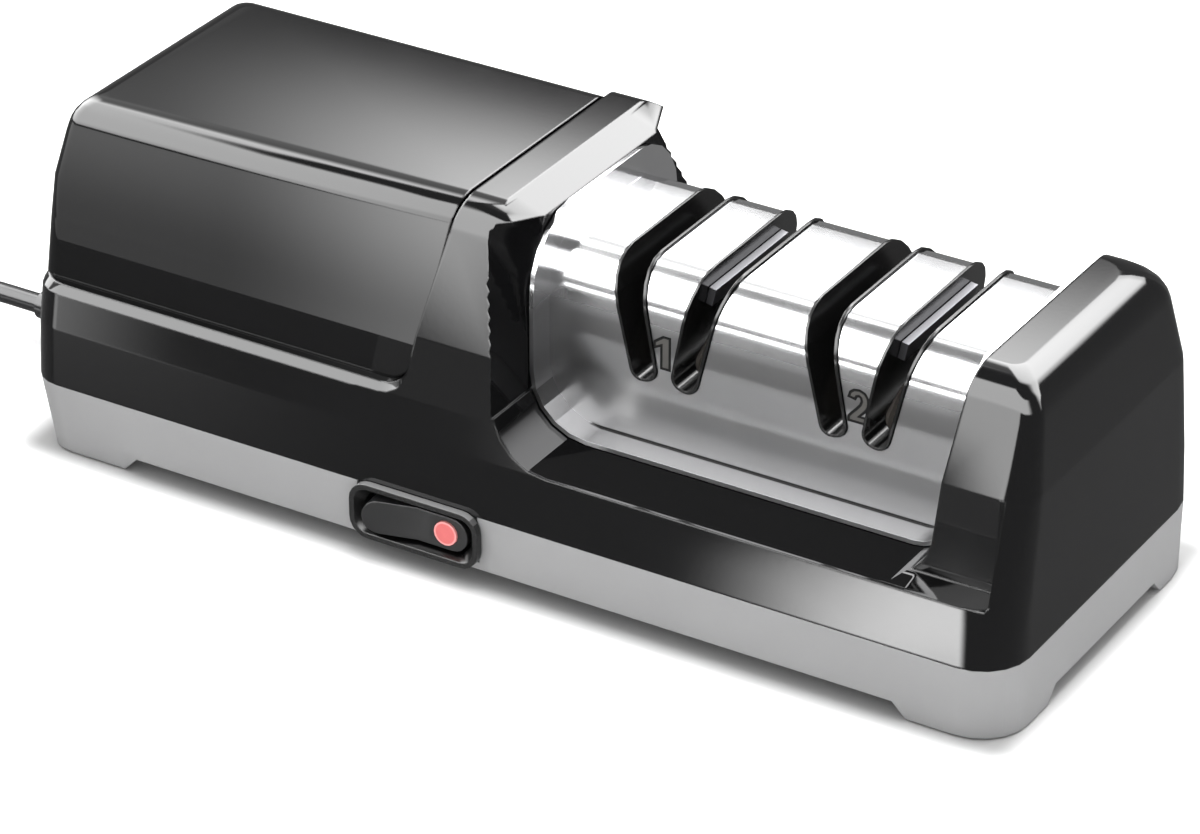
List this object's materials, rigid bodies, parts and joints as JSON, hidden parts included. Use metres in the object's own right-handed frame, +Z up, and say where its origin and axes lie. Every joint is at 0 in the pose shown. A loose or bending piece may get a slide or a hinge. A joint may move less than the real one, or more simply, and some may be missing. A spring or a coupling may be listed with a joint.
{
  "type": "electric knife sharpener",
  "caption": "Countertop electric knife sharpener with slotted guides for coarse and fine grinding wheels, a lighted rocker switch and a mains cord.",
  "frame": {"origin": "on the table, under the middle of the body with its switch", "axes": "+X along the length towards the fine stage, -Y towards the user at the switch, +Z up"},
  "size_m": [0.3556, 0.1389, 0.0802],
  "materials": {
    "housing": "high gloss moulded black",
    "base": "satin moulded grey",
    "guide_steel": "polished sheet steel",
    "dark_plastic": "moulded black",
    "pads": "soft black rubber",
    "lamp": "clear salmon red",
    "magnets": "sintered dark grey",
    "carbon": "pressed carbon",
    "zinc_steel": "bright zinc plated",
    "brass": "plain sintered or drawn",
    "abrasive": "bonded abrasive grain on a steel disc",
    "circuit_board": "green lacquered board",
    "cord_rubber": "dark grey flexible vinyl"
  },
  "bodies": {
    "housing": {"base_housing": "base", "foot_pad_front_left": "pads", "foot_pad_front_right": "pads", "foot_pad_rear_left": "pads", "foot_pad_rear_right": "pads", "main_housing": "housing", "motor_cover": "housing", "guide_cover": "guide_steel", "slot_liner_coarse_left": "dark_plastic", "slot_liner_coarse_right": "dark_plastic", "slot_liner_fine_left": "dark_plastic", "slot_liner_fine_right": "dark_plastic", "magnet_bar_coarse_left": "magnets", "magnet_bar_coarse_right": "magnets", "magnet_bar_fine_left": "magnets", "magnet_bar_fine_right": "magnets", "switch_frame": "dark_plastic", "motor_can": "zinc_steel", "motor_end_bell": "dark_plastic", "motor_magnet_front": "magnets", "motor_magnet_rear": "magnets", "brush_front": "carbon", "brush_rear": "carbon", "motor_bush_left": "brass", "motor_bush_right": "brass", "shaft_bush_middle": "brass", "shaft_bush_right": "brass", "motor_supply_board": "circuit_board", "cord_strain_relief": "cord_rubber", "mains_cord": "cord_rubber", "mains_cord_coil": "cord_rubber", "plug_body": "cord_rubber", "plug_blade_left": "brass", "plug_blade_right": "brass"},
    "rocker": {"switch_rocker": "dark_plastic", "lamp_lens": "lamp"},
    "drive_line": {"motor_shaft": "zinc_steel", "rotor_core": "zinc_steel", "commutator": "brass", "cooling_fan": "dark_plastic", "shaft_coupling": "brass", "drive_shaft": "zinc_steel", "spring_collar_coarse": "zinc_steel", "spring_collar_fine": "zinc_steel", "drive_pin_coarse_left": "zinc_steel", "drive_pin_coarse_right": "zinc_steel", "drive_pin_fine_left": "zinc_steel", "drive_pin_fine_right": "zinc_steel", "wheel_spring_coarse_left": "zinc_steel", "wheel_spring_coarse_right": "zinc_steel", "wheel_spring_fine_left": "zinc_steel", "wheel_spring_fine_right": "zinc_steel"},
    "coarse_left_wheel": {"wheel_coarse_left": "abrasive"},
    "coarse_right_wheel": {"wheel_coarse_right": "abrasive"},
    "fine_left_wheel": {"wheel_fine_left": "abrasive"},
    "fine_right_wheel": {"wheel_fine_right": "abrasive"}
  },
  "joints": [
    {"name": "rocker_tilt", "type": "hinge", "parent": "housing", "child": "rocker", "pos_m": [-0.0182, -0.04229, 0.01075], "axis": [0, 0, 1], "range_deg": [-14, 0]},
    {"name": "drive_spin", "type": "hinge", "parent": "housing", "child": "drive_line", "pos_m": [0, 0.00177, 0.038], "axis": [1, 0, 0], "continuous": true},
    {"name": "coarse_left_wheel_slide", "type": "slide", "parent": "drive_line", "child": "coarse_left_wheel", "axis": [1, 0, 0], "range_m": [0, 0.0007], "stiffness_N_per_m": 1000, "springref_m": -0.001, "deforming": ["wheel_spring_coarse_left"]},
    {"name": "coarse_right_wheel_slide", "type": "slide", "parent": "drive_line", "child": "coarse_right_wheel", "axis": [-1, 0, 0], "range_m": [0, 0.0007], "stiffness_N_per_m": 1000, "springref_m": -0.001, "deforming": ["wheel_spring_coarse_right"]},
    {"name": "fine_left_wheel_slide", "type": "slide", "parent": "drive_line", "child": "fine_left_wheel", "axis": [1, 0, 0], "range_m": [0, 0.0007], "stiffness_N_per_m": 1000, "springref_m": -0.001, "deforming": ["wheel_spring_fine_left"]},
    {"name": "fine_right_wheel_slide", "type": "slide", "parent": "drive_line", "child": "fine_right_wheel", "axis": [-1, 0, 0], "range_m": [0, 0.0007], "stiffness_N_per_m": 1000, "springref_m": -0.001, "deforming": ["wheel_spring_fine_right"]}
  ]
}
